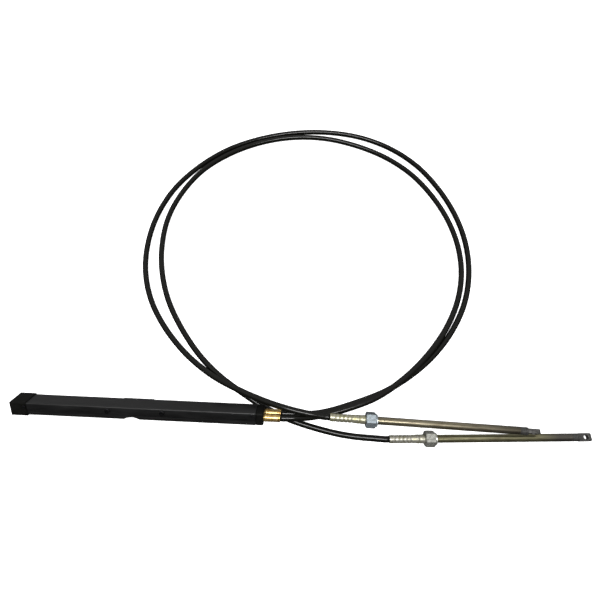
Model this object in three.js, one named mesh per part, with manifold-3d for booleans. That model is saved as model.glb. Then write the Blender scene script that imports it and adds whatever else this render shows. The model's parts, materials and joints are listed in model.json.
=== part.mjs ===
// Dual steering cable for a boat: a rack housing that bolts behind a helm, two push-pull
// cables that leave it side by side and lie in one big loop, and two output ends, each with
// a crimped hub, a coupling nut and a sliding ram with a flattened, drilled tip.
// Millimetres, +Z up. The floor is z = 0, +X runs along the rack towards the rams, and the
// origin lies on the floor under the middle of the rigid pieces.
import * as THREE from "three";
import { mergeVertices } from "three/addons/utils/BufferGeometryUtils.js";
import Module from "manifold-3d";

const wasm = await Module();
wasm.setup();

// Driving dimensions: clearances
const seatGap = 0.3; // between pieces that touch
const runGap = 0.3; // around pieces that slide or turn
const cutOver = 1; // how far a cutting tool reaches past the face it cuts

// Driving dimensions: sides of the round pieces
const seatSides = 56;
const nutSides = 36;
const hubSides = 24;
const roundSides = 28;
const smallSides = 16;

// Driving dimensions: rack housing, a folded steel box
const rackLength = 520;
const rackWidth = 36; // across the top face
const rackHeight = 28; // down the front face
const rackWall = 2.2;
const rackEdgeRadius = 2;
const rackRoll = 46.1; // degrees, top face turned away from the cables' crossing
const backPlateLength = 63;
const backPlateRise = 1.8;
const backPlateShift = -6; // from the middle of the rack
const grooveDepth = 0.7; // pressed line along the front face
const grooveWidth = 1.2;
const grooveDrop = 18.5; // below the top edge of the front face

// Driving dimensions: round seat for the helm's pinion
const seatRadius = 26;
const seatDepth = 6;
const seatShift = -10; // from the middle of the rack

// Driving dimensions: end caps
const capWall = 1.6; // what the left cap stands proud of the housing
const capSleeve = 33; // length of the left cap
const capEnd = 4;
const plugLength = 15.5; // right cap, past the end of the housing's front
const plugProud = 0.4;
const plugSpigot = 8; // the part of the right cap that sits in the housing
const plugGroove = 1.2;
const plugGrooveDepth = 0.8;
const plugGrooveInset = 5;

// Driving dimensions: screws and pins
const helmScrewPlaces = [-59, 54]; // from the middle of the rack
const helmScrewDrop = 9;
const helmScrewHead = 12;
const helmScrewRise = 2.6;
const helmScrewShank = 6;
const helmSocket = 5;
const helmSocketDepth = 1.4;
const screwEdge = 0.4; // rounding of a head, as a share of its rise
const capScrewHead = 7;
const capScrewRise = 1.6;
const capScrewShank = 4;
const capSocket = 2;
const capSocketDepth = 0.8;
const capScrewInset = 29; // from the left end
const capScrewDrop = 8;
const pinSize = 4;
const pinRise = 0.8;
const pinDrop = 5;
const pinInsets = [62, 24]; // from the right end

// Driving dimensions: brass cable fittings
const fittingSize = 16.4;
const fittingLength = 34;
const fittingPitch = 16.8;
const fittingStub = 12; // diameter of the part inside the right cap
const fittingBore = 6;
const fittingLip = 2.4;
const fittingNeck = 0.7;

// Driving dimensions: toothed rack bars inside the housing
const barLength = 242;
const barWidth = 11.6;
const barHeight = 18;
const toothPitch = 9.4;
const toothDepth = 3.4;
const toothTip = 2.6;
const toothFlank = 20; // degrees
const barEndGap = 20; // from the left cap when its ram is home

// Driving dimensions: cables
const cableSize = 13;
const cableSides = 10;
const cableStepsPerPoint = 2;
const cableLead = 12; // straight stretch at a fitting or a hub

// Driving dimensions: output ends
const hubSleeve = 54;
const hubSleeveSize = 16.2;
const hubShoulder = 18;
const hubShoulderSize = 17.8;
const hubNeck = 13;
const hubFlange = 19;
const hubFlangeThick = 4;
const hubBore = 6;
const hubRings = 5;
const hubRingPitch = 8;
const hubRingDepth = 0.6;
const hubRingWidth = 2.2;
const hubRingInset = 12;
const guideSize = 11;
const guideWall = 1.5;
const guideSocket = 40;
const guideEndGap = 5.8; // to the shank of the ram's tip when the ram is home
const ramOneOut = 9; // the first ram lies drawn out this far, the second is home
const nutFlats = 28.6;
const nutHex = 20;
const nutCollar = 3.4;
const nutCollarSize = 25.4;
const nutCollarEdge = 0.6;
const nutLip = 5;
const nutBore = 20.4;
const nutChamfer = 2.2;
const nutFace = 27.6;
const ramSize = 15.9;
const ramWall = 2.05;
const ramEdge = 0.5;
const ramLength = 287; // tube alone
const ramInNut = 9;
const tipCollar = 16;
const tipRing = 1.2;
const tipRingDepth = 0.7;
const tipLength = 24;
const tipThick = 9.4;
const tipHole = 9.6;
const tipHoleInset = 11;
const tipShank = 14;
const tipCorner = 3;
const tipLead = 2;
const tipLeadDrop = 1;

// How the pieces lie: the rack leans on the lower cable, and the first output end lies
// across the cables and the second ram. Degrees and millimetres on the floor.
const rackRise = 4.5; // how far the lower cable lifts the rack's right end
const rackMiddle = [-334, 0]; // top front edge of the housing
const rackTurn = 0.17;
const outputOneBack = [61, 4.4, 35];
const outputOneTurn = -0.93;
const outputOneDip = 1.12;
const outputTwoBack = [183, -30.4];
const outputTwoTurn = 3.58;

// Cable routes over the floor, from a brass fitting to a hub. The straight stretch at each
// end goes where the fitting and the hub put it.
const cableOneRoute = [
  [-18, 18, 23.2], [24, 21, 12.9], [45, 26, 8.3], [66, 32, 6.6], [150, 64, 6.6],
  [184, 80.5, 6.6], [241, 119.5, 6.6], [294, 169.5, 6.6],
  [338, 229.5, 6.6], [371, 299, 6.6], [388, 377, 6.6], [388, 459, 6.6], [370, 541, 6.6],
  [334, 622, 6.6], [282, 697, 6.6], [209, 757, 6.6], [123, 794, 6.6], [28, 807, 6.6],
  [-67, 799, 6.6], [-158, 773, 6.6], [-241, 730, 6.6], [-310, 668, 6.6], [-363, 594, 6.6],
  [-394, 509, 6.6], [-403, 428, 6.6], [-395, 347, 6.6], [-366, 267, 6.6], [-318, 196, 6.6],
  [-261, 138, 7.5], [-217, 105, 12], [-182, 83.5, 18.5], [-120, 55.5, 26], [-75, 38.5, 33],
  [-36, 26.5, 39.5], [4, 17.5, 42.6], [30, 14.5, 39],
];
const cableTwoRoute = [
  [-18, 6.5, 35.4], [22, 12, 24.4], [42, 17, 21.6], [66, 23.5, 21], [144, 53, 21],
  [182, 76, 21], [235, 120, 19.5], [283, 173.5, 15.5],
  [325, 235.5, 8], [355, 303, 6.6], [370, 376, 6.6], [368, 452, 6.6], [349, 528, 6.6],
  [314, 601, 6.6], [264, 669, 6.6], [196, 724, 6.6], [116, 762, 6.6], [28, 784, 6.6],
  [-64, 783, 6.6], [-152, 759.5, 6.6], [-232, 716, 6.6], [-299, 655, 6.6], [-343, 578, 6.6],
  [-366, 496, 6.6], [-366, 409, 6.6], [-352, 338, 6.6], [-325, 268, 6.6], [-285, 203, 6.6],
  [-233, 139, 6.6], [-182, 94, 6.6], [-122, 55.5, 6.6], [-79, 31.5, 6.6], [-18, 6.5, 6.6],
  [83, -16.5, 7], [131, -20.7, 10], [157, -21.6, 13.6],
];

// Materials
const blackPaint = new THREE.MeshStandardMaterial({ color: 0x1b1b1b, roughness: 0.45, metalness: 0.1 });
const blackPlastic = new THREE.MeshStandardMaterial({ color: 0x121210, roughness: 0.55, metalness: 0 });
const darkSteel = new THREE.MeshStandardMaterial({ color: 0x2a2a2c, roughness: 0.4, metalness: 0.8 });
const brass = new THREE.MeshStandardMaterial({ color: 0xc7953f, roughness: 0.3, metalness: 1 });
const bareSteel = new THREE.MeshStandardMaterial({ color: 0x8a8a86, roughness: 0.4, metalness: 1 });
const jacket = new THREE.MeshStandardMaterial({ color: 0x14140f, roughness: 0.35, metalness: 0 });
const zincPlate = new THREE.MeshStandardMaterial({ color: 0xa7a488, roughness: 0.35, metalness: 1 });
const nutPlate = new THREE.MeshStandardMaterial({ color: 0xa3adb0, roughness: 0.35, metalness: 1 });
const stainless = new THREE.MeshStandardMaterial({ color: 0x8b8470, roughness: 0.32, metalness: 1 });
const tipSteel = new THREE.MeshStandardMaterial({ color: 0x5a5852, roughness: 0.4, metalness: 1 });

// A closed geometry with shared corners whose faces point out.
function closed(geometry) {
  geometry.deleteAttribute("normal");
  geometry.deleteAttribute("uv");
  const merged = mergeVertices(geometry, 1e-4);
  const place = merged.getAttribute("position");
  const index = Array.from(merged.getIndex().array);
  const kept = [];
  let volume = 0;
  const a = new THREE.Vector3();
  const b = new THREE.Vector3();
  const c = new THREE.Vector3();
  for (let i = 0; i < index.length; i += 3) {
    const [p, q, r] = index.slice(i, i + 3);
    if (p === q || q === r || r === p) continue;
    a.fromBufferAttribute(place, p);
    b.fromBufferAttribute(place, q);
    c.fromBufferAttribute(place, r);
    volume += a.dot(b.cross(c)) / 6;
    kept.push(p, q, r);
  }
  if (volume < 0) {
    for (let i = 0; i < kept.length; i += 3) [kept[i], kept[i + 1]] = [kept[i + 1], kept[i]];
  }
  merged.setIndex(kept);
  return merged;
}

function toSolid(geometry) {
  const ready = closed(geometry);
  const vertProperties = new Float32Array(ready.getAttribute("position").array);
  const triVerts = new Uint32Array(ready.getIndex().array);
  return new wasm.Manifold(new wasm.Mesh({ numProp: 3, vertProperties, triVerts }));
}

function toGeometry(solid) {
  const mesh = solid.getMesh();
  const geometry = new THREE.BufferGeometry();
  geometry.setAttribute("position", new THREE.BufferAttribute(new Float32Array(mesh.vertProperties), 3));
  geometry.setIndex(Array.from(mesh.triVerts));
  return geometry;
}

function cut(body, ...tools) {
  return toGeometry(tools.reduce((left, tool) => left.subtract(toSolid(tool)), toSolid(body)));
}

function join(...pieces) {
  const [first, ...others] = pieces.map(toSolid);
  return toGeometry(others.reduce((whole, piece) => whole.add(piece), first));
}

// Extrudes a Y-Z outline along +X from x = start.
const acrossX = new THREE.Matrix4().set(0, 0, 1, 0, 1, 0, 0, 0, 0, 1, 0, 0, 0, 0, 0, 1);
function along(shape, start, length) {
  const options = { depth: length, bevelEnabled: false, curveSegments: 4 };
  return new THREE.ExtrudeGeometry(shape, options).applyMatrix4(acrossX).translate(start, 0, 0);
}

// A rectangle with rounded corners in the rack's section: y runs from the front to the back,
// z runs down from the top, and grow moves every side out.
function section(grow, radius) {
  const low = -rackHeight - grow;
  const right = rackWidth + grow;
  const left = -grow;
  const top = grow;
  const shape = new THREE.Shape();
  if (radius === 0) {
    shape.moveTo(left, low);
    shape.lineTo(right, low);
    shape.lineTo(right, top);
    shape.lineTo(left, top);
    shape.closePath();
    return shape;
  }
  shape.moveTo(left + radius, low);
  shape.lineTo(right - radius, low);
  shape.absarc(right - radius, low + radius, radius, -Math.PI / 2, 0, false);
  shape.lineTo(right, top - radius);
  shape.absarc(right - radius, top - radius, radius, 0, Math.PI / 2, false);
  shape.lineTo(left + radius, top);
  shape.absarc(left + radius, top - radius, radius, Math.PI / 2, Math.PI, false);
  shape.lineTo(left, low + radius);
  shape.absarc(left + radius, low + radius, radius, Math.PI, 1.5 * Math.PI, false);
  return shape;
}

function block(x0, x1, y0, y1, z0, z1) {
  const box = new THREE.BoxGeometry(x1 - x0, y1 - y0, z1 - z0);
  return box.translate((x0 + x1) / 2, (y0 + y1) / 2, (z0 + z1) / 2);
}

// Turns a closed profile of [x, radius] pairs about the X axis.
function turned(profile, sides) {
  const points = [...profile, profile[0]].map(([x, radius]) => new THREE.Vector2(radius, x));
  return new THREE.LatheGeometry(points, sides).rotateZ(-Math.PI / 2);
}

// A round bar across the front face, along Y.
function crossBar(size, x, y0, y1, z, sides) {
  const bar = new THREE.CylinderGeometry(size / 2, size / 2, y1 - y0, sides);
  return bar.translate(x, (y0 + y1) / 2, z);
}

const fittingMiddle = rackWidth / 2;
const fittingRows = [fittingMiddle + fittingPitch / 2, fittingMiddle - fittingPitch / 2];
const fittingDrop = -rackHeight / 2;
const rackEnd = rackLength / 2;

function housing() {
  const left = -rackEnd + capEnd + seatGap;
  const right = rackEnd - plugLength;
  const shell = along(section(0, rackEdgeRadius), left, right - left);
  const plateStart = backPlateShift - backPlateLength / 2;
  const plate = block(
    plateStart, plateStart + backPlateLength,
    rackWidth - rackWall / 2, rackWidth + backPlateRise,
    -rackHeight + rackEdgeRadius, -rackEdgeRadius / 2,
  );
  const bore = along(section(-rackWall, 0), left - cutOver, right - left + 2 * cutOver);
  const seatBelow = -rackHeight - seatRadius + seatDepth;
  const seat = crossBar(2 * seatRadius, seatShift, -cutOver, rackWidth + backPlateRise + cutOver, seatBelow, seatSides);
  const groove = block(
    left - cutOver, right + cutOver, -cutOver, grooveDepth,
    -grooveDrop - grooveWidth, -grooveDrop,
  );
  const holes = [];
  for (const place of helmScrewPlaces) {
    const size = helmScrewShank + 2 * seatGap;
    holes.push(crossBar(size, place, -cutOver, rackWall + cutOver, -helmScrewDrop, smallSides));
  }
  for (const inset of pinInsets) {
    holes.push(crossBar(pinSize + 2 * seatGap, rackEnd - inset, -cutOver, rackWall + cutOver, -pinDrop, smallSides));
  }
  const capHole = capScrewInset - rackEnd;
  holes.push(crossBar(capScrewShank + 2 * seatGap, capHole, -cutOver, rackWall + cutOver, -capScrewDrop, smallSides));
  return cut(join(shell, plate), bore, seat, groove, ...holes);
}

function leftCap() {
  const outer = along(section(capWall, rackEdgeRadius), -rackEnd, capSleeve);
  const inner = along(section(seatGap, rackEdgeRadius), -rackEnd + capEnd, capSleeve);
  const hole = crossBar(
    capScrewShank + 2 * seatGap, capScrewInset - rackEnd, -capWall - cutOver, cutOver, -capScrewDrop, smallSides,
  );
  return cut(outer, inner, hole);
}

function rightCap() {
  const start = rackEnd - plugLength;
  const face = along(section(plugProud, rackEdgeRadius), start + seatGap, plugLength - seatGap);
  const spigotStart = start - plugSpigot;
  const spigot = along(section(-rackWall - seatGap, 0), spigotStart, plugSpigot + plugLength / 2);
  const grooveStart = rackEnd - plugGrooveInset;
  const ring = cut(
    along(section(plugProud + cutOver, 0), grooveStart, plugGroove),
    along(section(plugProud - plugGrooveDepth, rackEdgeRadius), grooveStart - cutOver, plugGroove + 2 * cutOver),
  );
  const bore = fittingStub / 2 + seatGap;
  const bores = fittingRows.map((row) =>
    new THREE.CylinderGeometry(bore, bore, 2 * rackLength, roundSides)
      .rotateZ(Math.PI / 2).translate(rackEnd, row, fittingDrop));
  return cut(join(face, spigot), ring, ...bores);
}

function screw(head, rise, shank, reach, socket, socketDepth) {
  const edge = rise * screwEdge;
  const body = turned([
    [0, 0], [0, head / 2], [rise - edge, head / 2], [rise, head / 2 - edge], [rise, 0],
  ], smallSides);
  const stem = turned([[-reach, 0], [-reach, shank / 2], [rise / 2, shank / 2], [rise / 2, 0]], smallSides);
  const recess = turned([
    [rise - socketDepth, 0], [rise - socketDepth, socket / 2], [rise + cutOver, socket / 2], [rise + cutOver, 0],
  ], 6);
  return cut(join(body, stem), recess);
}

function fitting() {
  const stubLength = plugLength + plugSpigot;
  const r = fittingSize / 2;
  return turned([
    [-stubLength, fittingBore / 2],
    [-stubLength, fittingStub / 2],
    [seatGap, fittingStub / 2],
    [seatGap, r - fittingNeck],
    [fittingLip, r - fittingNeck],
    [fittingLip + fittingNeck, r],
    [fittingLength - fittingNeck, r],
    [fittingLength, r - fittingNeck],
    [fittingLength, fittingBore / 2],
  ], roundSides);
}

function rackBar() {
  const body = block(0, barLength, -barWidth / 2, barWidth / 2, -barHeight, 0);
  const count = Math.floor((barLength - toothTip) / toothPitch);
  const shape = new THREE.Shape();
  const slope = Math.tan(THREE.MathUtils.degToRad(toothFlank));
  const root = toothPitch - toothTip - 2 * toothDepth * slope;
  const mouth = root + 2 * (toothDepth + cutOver) * slope;
  shape.moveTo(-mouth / 2, -cutOver);
  shape.lineTo(mouth / 2, -cutOver);
  shape.lineTo(root / 2, toothDepth);
  shape.lineTo(-root / 2, toothDepth);
  shape.closePath();
  const tools = [];
  for (let i = 0; i < count; i += 1) {
    const gap = new THREE.ExtrudeGeometry(shape, { depth: barWidth + 2 * cutOver, bevelEnabled: false });
    gap.rotateX(Math.PI / 2).translate(0, barWidth / 2 + cutOver, 0);
    tools.push(gap.translate((i + 0.5) * toothPitch + toothTip / 2, 0, -barHeight));
  }
  return cut(body, ...tools);
}

function hub() {
  const shoulderEnd = hubSleeve + hubShoulder;
  const neckEnd = shoulderEnd + nutLip + 2 * runGap;
  const back = hubSleeveSize / 2;
  const profile = [[0, hubBore / 2], [0, back - hubRingDepth], [hubRingDepth, back]];
  for (let i = 0; i < hubRings; i += 1) {
    const x = hubRingInset + i * hubRingPitch;
    const half = hubRingWidth / 2;
    profile.push([x - half, back], [x - half / 2, back - hubRingDepth]);
    profile.push([x + half / 2, back - hubRingDepth], [x + half, back]);
  }
  profile.push(
    [hubSleeve, back],
    [hubSleeve + hubRingDepth, hubShoulderSize / 2],
    [shoulderEnd - hubRingDepth, hubShoulderSize / 2],
    [shoulderEnd, hubShoulderSize / 2 - hubRingDepth],
    [shoulderEnd, hubNeck / 2],
    [neckEnd, hubNeck / 2],
    [neckEnd, hubFlange / 2],
    [neckEnd + hubFlangeThick, hubFlange / 2],
    [neckEnd + hubFlangeThick, guideSize / 2 + seatGap],
    [neckEnd + hubFlangeThick - guideSocket, guideSize / 2 + seatGap],
    [neckEnd + hubFlangeThick - guideSocket, hubBore / 2],
  );
  return turned(profile, hubSides);
}

const nutStart = hubSleeve + hubShoulder + runGap;
const nutLength = nutHex + nutCollar;
const guideStart = nutStart + runGap + nutLip + hubFlangeThick - guideSocket + seatGap;
const ramStart = nutStart + nutLength - ramInNut;
const guideLength = ramStart + ramLength - tipShank - guideEndGap - guideStart;

function guideTube() {
  const inner = guideSize / 2 - guideWall;
  return turned([[0, inner], [0, guideSize / 2], [guideLength, guideSize / 2], [guideLength, inner]], roundSides);
}

function nut() {
  const corner = nutFlats / Math.sqrt(3);
  const hex = new THREE.CylinderGeometry(corner, corner, nutHex, 6);
  hex.rotateZ(-Math.PI / 2).rotateX(Math.PI / 6).translate(nutHex / 2, 0, 0);
  const rounding = turned([
    [-cutOver, 0], [-cutOver, nutFace / 2], [0, nutFace / 2], [nutChamfer, corner + cutOver],
    [nutHex - nutChamfer, corner + cutOver], [nutHex, nutFace / 2], [nutHex + cutOver, nutFace / 2],
    [nutHex + cutOver, 0],
  ], nutSides);
  const shaped = toGeometry(toSolid(hex).intersect(toSolid(rounding)));
  const collar = turned([
    [nutHex / 2, 0], [nutHex / 2, nutCollarSize / 2], [nutLength - nutCollarEdge, nutCollarSize / 2],
    [nutLength, nutCollarSize / 2 - nutCollarEdge], [nutLength, 0],
  ], nutSides);
  const lipBore = hubNeck / 2 + runGap;
  const bore = turned([
    [-cutOver, 0], [-cutOver, lipBore], [nutLip, lipBore], [nutLip, nutBore / 2],
    [nutLength + cutOver, nutBore / 2], [nutLength + cutOver, 0],
  ], roundSides);
  return cut(join(shaped, collar), bore);
}

function ramTube() {
  const outer = ramSize / 2;
  const inner = outer - ramWall;
  return turned([
    [0, inner], [0, outer - ramEdge], [ramEdge, outer], [ramLength, outer], [ramLength, inner],
  ], roundSides);
}

function ramTip() {
  const r = ramSize / 2;
  const shank = r - ramWall - seatGap;
  const collar = turned([
    [-tipShank, 0], [-tipShank, shank], [seatGap, shank], [seatGap, r - tipRingDepth],
    [seatGap + tipRing, r - tipRingDepth], [seatGap + tipRing + tipRingDepth, r], [tipCollar, r],
    [tipCollar + (r - tipThick / 2), tipThick / 2], [tipCollar + (r - tipThick / 2), 0],
  ], roundSides);
  const end = tipCollar + tipLength;
  const shape = new THREE.Shape();
  shape.moveTo(tipCollar - tipLead, -r + tipLeadDrop);
  shape.lineTo(tipCollar, -r);
  shape.lineTo(end - tipCorner, -r);
  shape.absarc(end - tipCorner, -r + tipCorner, tipCorner, -Math.PI / 2, 0, false);
  shape.lineTo(end, r - tipCorner);
  shape.absarc(end - tipCorner, r - tipCorner, tipCorner, 0, Math.PI / 2, false);
  shape.lineTo(tipCollar, r);
  shape.lineTo(tipCollar - tipLead, r - tipLeadDrop);
  shape.closePath();
  const hole = new THREE.Path();
  hole.absarc(end - tipHoleInset, 0, tipHole / 2, 0, 2 * Math.PI, true);
  shape.holes.push(hole);
  const flat = new THREE.ExtrudeGeometry(shape, { depth: tipThick, bevelEnabled: false, curveSegments: 8 });
  return join(collar, flat.translate(0, 0, -tipThick / 2));
}

function piece(name, geometry, material, parent, place = [0, 0, 0]) {
  const mesh = new THREE.Mesh(closed(geometry), material);
  mesh.name = name;
  mesh.position.set(...place);
  parent.add(mesh);
  return mesh;
}

function onFloor(group) {
  group.updateMatrixWorld(true);
  group.position.z -= new THREE.Box3().setFromObject(group, true).min.z;
  group.updateMatrixWorld(true);
}

function rack() {
  const rolled = new THREE.Group();
  rolled.rotation.x = -THREE.MathUtils.degToRad(rackRoll);
  piece("rack_housing", housing(), blackPaint, rolled);
  piece("end_cap_left", leftCap(), blackPlastic, rolled);
  piece("end_cap_right", rightCap(), blackPlastic, rolled);
  helmScrewPlaces.forEach((place, i) => {
    const head = screw(
      helmScrewHead, helmScrewRise, helmScrewShank, rackWall - seatGap, helmSocket, helmSocketDepth,
    );
    piece(`helm_screw_${i + 1}`, head.rotateZ(-Math.PI / 2), darkSteel, rolled, [
      place, -seatGap, -helmScrewDrop,
    ]);
  });
  const capReach = capWall + rackWall - seatGap;
  const capHead = screw(capScrewHead, capScrewRise, capScrewShank, capReach, capSocket, capSocketDepth);
  piece("cap_screw", capHead.rotateZ(-Math.PI / 2), darkSteel, rolled, [
    capScrewInset - rackEnd, -capWall - seatGap, -capScrewDrop,
  ]);
  pinInsets.forEach((inset, i) => {
    const pin = turned([
      [-rackWall, 0], [-rackWall, pinSize / 2], [pinRise / 2, pinSize / 2], [pinRise, pinSize / 3], [pinRise, 0],
    ], smallSides);
    piece(`housing_pin_${i + 1}`, pin.rotateZ(-Math.PI / 2), darkSteel, rolled, [
      rackEnd - inset, 0, -pinDrop,
    ]);
  });
  const drawn = [ramOneOut, 0];
  fittingRows.forEach((row, i) => {
    piece(`cable_fitting_${i + 1}`, fitting(), brass, rolled, [rackEnd, row, fittingDrop]);
    piece(`rack_bar_${i + 1}`, rackBar(), bareSteel, rolled, [
      -rackEnd + capEnd + barEndGap + drawn[i], row, -rackWall - runGap,
    ]);
  });
  const pitched = new THREE.Group();
  pitched.add(rolled);
  pitched.rotation.y = -Math.asin(rackRise / rackLength);
  const placed = new THREE.Group();
  placed.add(pitched);
  placed.rotation.z = THREE.MathUtils.degToRad(rackTurn);
  placed.position.set(...rackMiddle, 0);
  onFloor(placed);
  return placed;
}

// A smooth curve through the chosen points, walked in even steps from point to point, so
// that it takes short steps where the points lie close together.
class Route extends THREE.CatmullRomCurve3 {
  getUtoTmapping(u) {
    return u;
  }
}

// The middle of a round piece's end face, moved out along its X axis.
function endOf(mesh, distance) {
  return mesh.localToWorld(new THREE.Vector3(distance, 0, 0));
}

function cable(from, points, to) {
  const start = fittingLength + seatGap;
  const path = new Route([
    endOf(from, start),
    endOf(from, start + cableLead),
    ...points.map((point) => new THREE.Vector3(...point)),
    endOf(to, -seatGap - cableLead),
    endOf(to, -seatGap),
  ]);
  const outline = new THREE.Shape();
  for (let i = 0; i < cableSides; i += 1) {
    const angle = (2 * Math.PI * i) / cableSides;
    const corner = [(cableSize / 2) * Math.cos(angle), (cableSize / 2) * Math.sin(angle)];
    if (i === 0) outline.moveTo(...corner);
    else outline.lineTo(...corner);
  }
  outline.closePath();
  const steps = cableStepsPerPoint * (path.points.length - 1);
  return new THREE.ExtrudeGeometry(outline, { steps, extrudePath: path, bevelEnabled: false });
}

function outputEnd(number, flatTurn, drawnOut) {
  const end = new THREE.Group();
  piece(`hub_${number}`, hub(), zincPlate, end);
  piece(`coupling_nut_${number}`, nut(), nutPlate, end, [nutStart, 0, 0]);
  piece(`guide_tube_${number}`, guideTube(), bareSteel, end, [guideStart, 0, 0]);
  piece(`ram_tube_${number}`, ramTube(), stainless, end, [ramStart + drawnOut, 0, 0]);
  const tipStart = ramStart + drawnOut + ramLength;
  const tip = piece(`ram_tip_${number}`, ramTip(), tipSteel, end, [tipStart, 0, 0]);
  tip.rotation.x = THREE.MathUtils.degToRad(flatTurn);
  return end;
}

function aimed(end, turn, dip) {
  const yaw = new THREE.Quaternion().setFromAxisAngle(new THREE.Vector3(0, 0, 1), THREE.MathUtils.degToRad(turn));
  const pitch = new THREE.Quaternion().setFromAxisAngle(new THREE.Vector3(0, 1, 0), THREE.MathUtils.degToRad(dip));
  end.quaternion.copy(yaw.multiply(pitch));
}

const object = new THREE.Group();
const rigid = new THREE.Group();
object.add(rigid);
rigid.add(rack());

const outputOne = outputEnd(1, 90, ramOneOut);
aimed(outputOne, outputOneTurn, outputOneDip);
outputOne.position.set(...outputOneBack);
rigid.add(outputOne);

// The second output end rests on its nut and on the end of its ram.
const outputTwo = outputEnd(2, 0, 0);
const dropToRam = nutFlats / 2 - ramSize / 2;
const supportRun = ramStart + ramLength + tipCollar - nutStart - nutHex;
aimed(outputTwo, outputTwoTurn, THREE.MathUtils.radToDeg(Math.asin(dropToRam / supportRun)));
outputTwo.position.set(...outputTwoBack, 0);
onFloor(outputTwo);
rigid.add(outputTwo);

rigid.updateMatrixWorld(true);
const box = new THREE.Box3().setFromObject(rigid, true);
const middle = box.getCenter(new THREE.Vector3());
rigid.position.set(-middle.x, -middle.y, -box.min.z);
object.updateMatrixWorld(true);

const named = (name) => object.getObjectByName(name);
piece("cable_1", cable(named("cable_fitting_1"), cableOneRoute, named("hub_1")), jacket, object);
piece("cable_2", cable(named("cable_fitting_2"), cableTwoRoute, named("hub_2")), jacket, object);

export default object;
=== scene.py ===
# Looks of a boat steering cable: a square rack housing, two push-pull cables that lie in one
# big loop, and two output ends with a crimped hub, a coupling nut and a sliding ram each.
import json
import math

import bmesh
import bpy
from mathutils import Matrix, Vector


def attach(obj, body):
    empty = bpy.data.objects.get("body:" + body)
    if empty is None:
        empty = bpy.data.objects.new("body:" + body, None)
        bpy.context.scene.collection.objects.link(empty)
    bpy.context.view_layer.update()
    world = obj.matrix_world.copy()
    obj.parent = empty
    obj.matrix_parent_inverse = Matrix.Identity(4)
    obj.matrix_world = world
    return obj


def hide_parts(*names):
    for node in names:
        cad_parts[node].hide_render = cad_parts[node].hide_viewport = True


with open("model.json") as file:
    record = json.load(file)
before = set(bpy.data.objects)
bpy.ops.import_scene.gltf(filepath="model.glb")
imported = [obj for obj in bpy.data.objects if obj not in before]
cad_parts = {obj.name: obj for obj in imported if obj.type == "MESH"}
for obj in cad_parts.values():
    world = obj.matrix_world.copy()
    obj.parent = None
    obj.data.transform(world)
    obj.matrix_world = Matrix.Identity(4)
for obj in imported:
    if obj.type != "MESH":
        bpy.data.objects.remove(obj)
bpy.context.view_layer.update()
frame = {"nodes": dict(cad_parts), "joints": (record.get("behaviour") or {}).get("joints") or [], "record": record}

MM = 0.001
UP = Vector((0, 0, 1))

# Sizes, in millimetres, as the solids have them. A drop is counted down from the rack's upper edge.
RACK_LENGTH = 520
RACK_WIDTH = 36
RACK_HEIGHT = 28
RACK_WALL = 2.2
RACK_EDGE = 2
PLATE_LENGTH = 63
PLATE_RISE = 1.8
PLATE_SHIFT = -6
PLATE_FACE_DROP = 11
LINE_DROP = 18.5
LINE_WIDTH = 1.2
LINE_DEPTH = 0.7
SEAT_RADIUS = 26
SEAT_DEPTH = 6
SEAT_SHIFT = -10
SEAT_GAP = 0.3
CAP_WALL = 1.6
CAP_SLEEVE = 33
CAP_END = 4
PLUG_LENGTH = 15.5
PLUG_SPIGOT = 8
PLUG_PROUD = 0.4
PLUG_CORNER = 4
PLUG_ROUNDING = 2.2
HELM_SCREW_PLACES = (-59, 54)
HELM_SCREW_DROP = 9
CAP_SCREW_INSET = 29
CAP_SCREW_DROP = 8
PIN_PLACES = (198, 236)
PIN_DROP = 5
PIN_SIZE = 4
FITTING_SIZE = 16.4
FITTING_LENGTH = 34
FITTING_PITCH = 16.8
FITTING_STUB = 12
CABLE_SIZE = 13
CABLE_LEAD = 12
HUB_SLEEVE = 54
HUB_SLEEVE_SIZE = 16.2
HUB_SHOULDER = 18
HUB_SHOULDER_SIZE = 17.8
HUB_NECK = 13
HUB_FLANGE = 19
HUB_FLANGE_THICK = 4
HUB_RINGS = 5
HUB_RING_PITCH = 8
HUB_RING_INSET = 12
HUB_RING_WIDTH = 2.6
HUB_RING_DEPTH = 0.7
HUB_RING_STEPS = 6
CORE_HOLE = 6
GUIDE_SIZE = 11
GUIDE_WALL = 1.5
GUIDE_SOCKET = 40
GUIDE_LENGTH = 312
RAM_ONE_OUT = 9
NUT_FLATS = 28.6
NUT_HEX = 20
NUT_COLLAR = 3.4
NUT_COLLAR_SIZE = 25.4
NUT_BORE = 20.4
NUT_LIP = 5
NUT_CORNER_CUT = 2.2
THREAD_PITCH = 1.81
THREAD_DEPTH = 0.9
RAM_SIZE = 15.9
RAM_WALL = 2.05
RAM_LENGTH = 287
RAM_IN_NUT = 9
TIP_COLLAR = 16
TIP_LENGTH = 24
TIP_THICK = 9.4
TIP_HOLE = 9.6
TIP_HOLE_INSET = 11
TIP_CORNER = 3
TIP_PLUG = 14

# Where the far pieces start, along an output end
NUT_START = HUB_SLEEVE + HUB_SHOULDER + SEAT_GAP
NECK_END = NUT_START + NUT_LIP + SEAT_GAP
FLANGE_END = NECK_END + HUB_FLANGE_THICK
GUIDE_START = FLANGE_END - GUIDE_SOCKET + SEAT_GAP
RAM_START = NUT_START + NUT_HEX + NUT_COLLAR - RAM_IN_NUT

# Where the pieces lie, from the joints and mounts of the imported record
joints = {joint["name"]: joint for joint in frame["joints"]}
mounts = {mount["name"]: mount for mount in frame["record"]["mounts"]}


def axes_at(origin, x, y):
    """A place with the given X, and Y as near to the given one as it can be."""
    x = Vector(x).normalized()
    z = x.cross(Vector(y)).normalized()
    place = Matrix((x, z.cross(x), z)).transposed().to_4x4()
    place.translation = origin
    return place


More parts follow.
